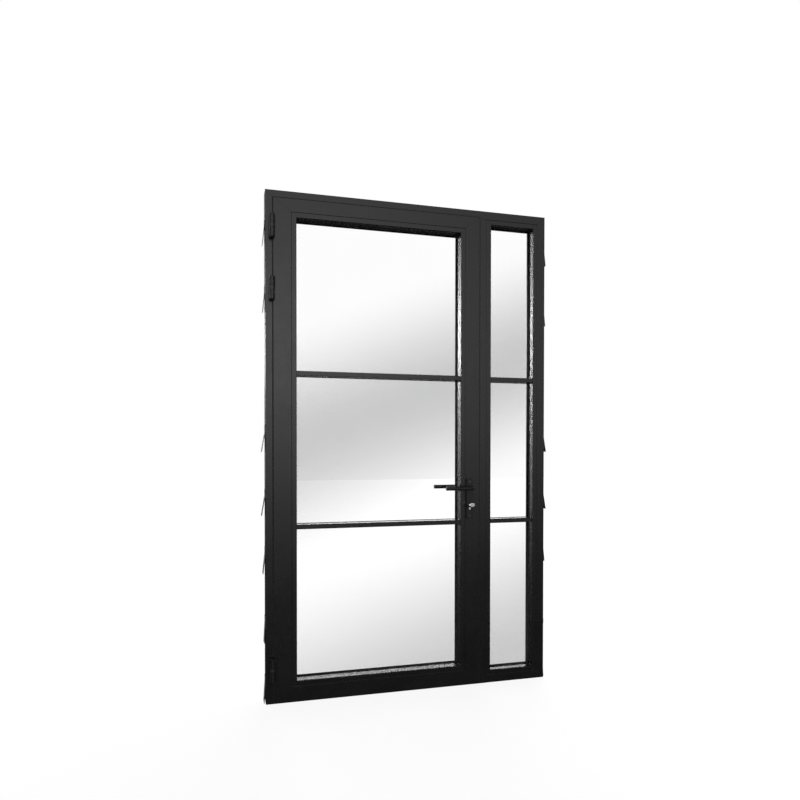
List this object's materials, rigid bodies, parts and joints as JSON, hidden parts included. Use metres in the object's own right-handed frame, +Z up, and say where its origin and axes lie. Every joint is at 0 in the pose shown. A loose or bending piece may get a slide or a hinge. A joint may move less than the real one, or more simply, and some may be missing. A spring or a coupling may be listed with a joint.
{
  "type": "glass door",
  "caption": "Black aluminium entrance door set: glazed hinged leaf with lever handles and lock beside a narrow fixed sidelight, both with slim horizontal bars, in one frame.",
  "frame": {"origin": "middle of the frame's width and depth, at its lowest face, which stands on the floor", "axes": "+X to the right seen from the side the leaf opens towards (hinges at -X), +Y away from that side through the frame's depth, +Z up"},
  "size_m": [1.476, 0.188, 2.4],
  "materials": {
    "frame_coat": "satin black powder coat on aluminium extrusion",
    "hardware_black": "satin black coating",
    "glass": "clear float glass",
    "rubber": "matt black rubber",
    "spacer": "dark warm-edge spacer",
    "block_plastic": "moulded plastic",
    "galvanised": "dull dark zinc plating",
    "steel": "brushed steel",
    "nickel": "polished nickel"
  },
  "bodies": {
    "frame": {"frame_hinge_jamb": "frame_coat", "frame_head": "frame_coat", "frame_far_jamb": "frame_coat", "sidelight_sill": "frame_coat", "mullion": "frame_coat", "door_threshold": "frame_coat", "rebate_seal": "rubber", "fixing_lugs": "galvanised", "sidelight_pane_front": "glass", "sidelight_pane_back": "glass", "sidelight_spacer": "spacer", "sidelight_gasket_front": "rubber", "sidelight_gasket_back": "rubber", "sidelight_bead_left": "frame_coat", "sidelight_bead_top": "frame_coat", "sidelight_bead_right": "frame_coat", "sidelight_bead_bottom": "frame_coat", "sidelight_bars_front": "frame_coat", "sidelight_bars_back": "frame_coat", "sidelight_setting_blocks": "block_plastic", "hinge_top_frame_half": "hardware_black", "hinge_middle_frame_half": "hardware_black", "hinge_bottom_frame_half": "hardware_black", "hinge_pins": "hardware_black", "hinge_washers": "block_plastic", "strike_plate": "steel", "strike_screws": "steel"},
    "leaf": {"leaf_hinge_stile": "frame_coat", "leaf_top_rail": "frame_coat", "leaf_bottom_rail": "frame_coat", "leaf_lock_stile": "frame_coat", "bottom_sweep": "rubber", "leaf_pane_front": "glass", "leaf_pane_back": "glass", "leaf_spacer": "spacer", "leaf_gasket_front": "rubber", "leaf_gasket_back": "rubber", "leaf_bead_left": "frame_coat", "leaf_bead_top": "frame_coat", "leaf_bead_right": "frame_coat", "leaf_bead_bottom": "frame_coat", "leaf_bars_front": "frame_coat", "leaf_bars_back": "frame_coat", "leaf_setting_blocks": "block_plastic", "hinge_top_leaf_half": "hardware_black", "hinge_middle_leaf_half": "hardware_black", "hinge_bottom_leaf_half": "hardware_black", "lock_case": "steel", "lock_faceplate": "steel", "lock_cylinder": "nickel", "backplate_outside": "hardware_black", "backplate_inside": "hardware_black", "leaf_screws": "steel"},
    "handle": {"lever_outside": "hardware_black", "lever_inside": "hardware_black", "spindle": "steel"},
    "latch": {"latch_bolt": "steel"},
    "bolt": {"deadbolt": "steel"},
    "turn": {"thumb_turn": "nickel"}
  },
  "joints": [
    {"name": "leaf_swing", "type": "hinge", "parent": "frame", "child": "leaf", "pos_m": [-0.689, -0.0565, 0], "axis": [0, 0, -1], "range_deg": [0, 110]},
    {"name": "handle_turn", "type": "hinge", "parent": "leaf", "child": "handle", "pos_m": [0.295, 0, 1.001], "axis": [0, -1, 0], "range_deg": [0, 40], "stiffness_Nm_per_rad": 2, "springref_deg": -22.92},
    {"name": "latch_slide", "type": "slide", "parent": "leaf", "child": "latch", "axis": [1, 0, 0], "range_m": [0, 0.016]},
    {"name": "deadbolt_slide", "type": "slide", "parent": "leaf", "child": "bolt", "axis": [1, 0, 0], "range_m": [0, 0.021]},
    {"name": "thumb_turn_spin", "type": "hinge", "parent": "leaf", "child": "turn", "pos_m": [0.295, 0, 0.916], "axis": [0, -1, 0], "range_deg": [0, 360]}
  ],
  "couplings": [
    {"joint": "thumb_turn_spin", "follows": "deadbolt_slide", "rad_per_m": 299}
  ]
}
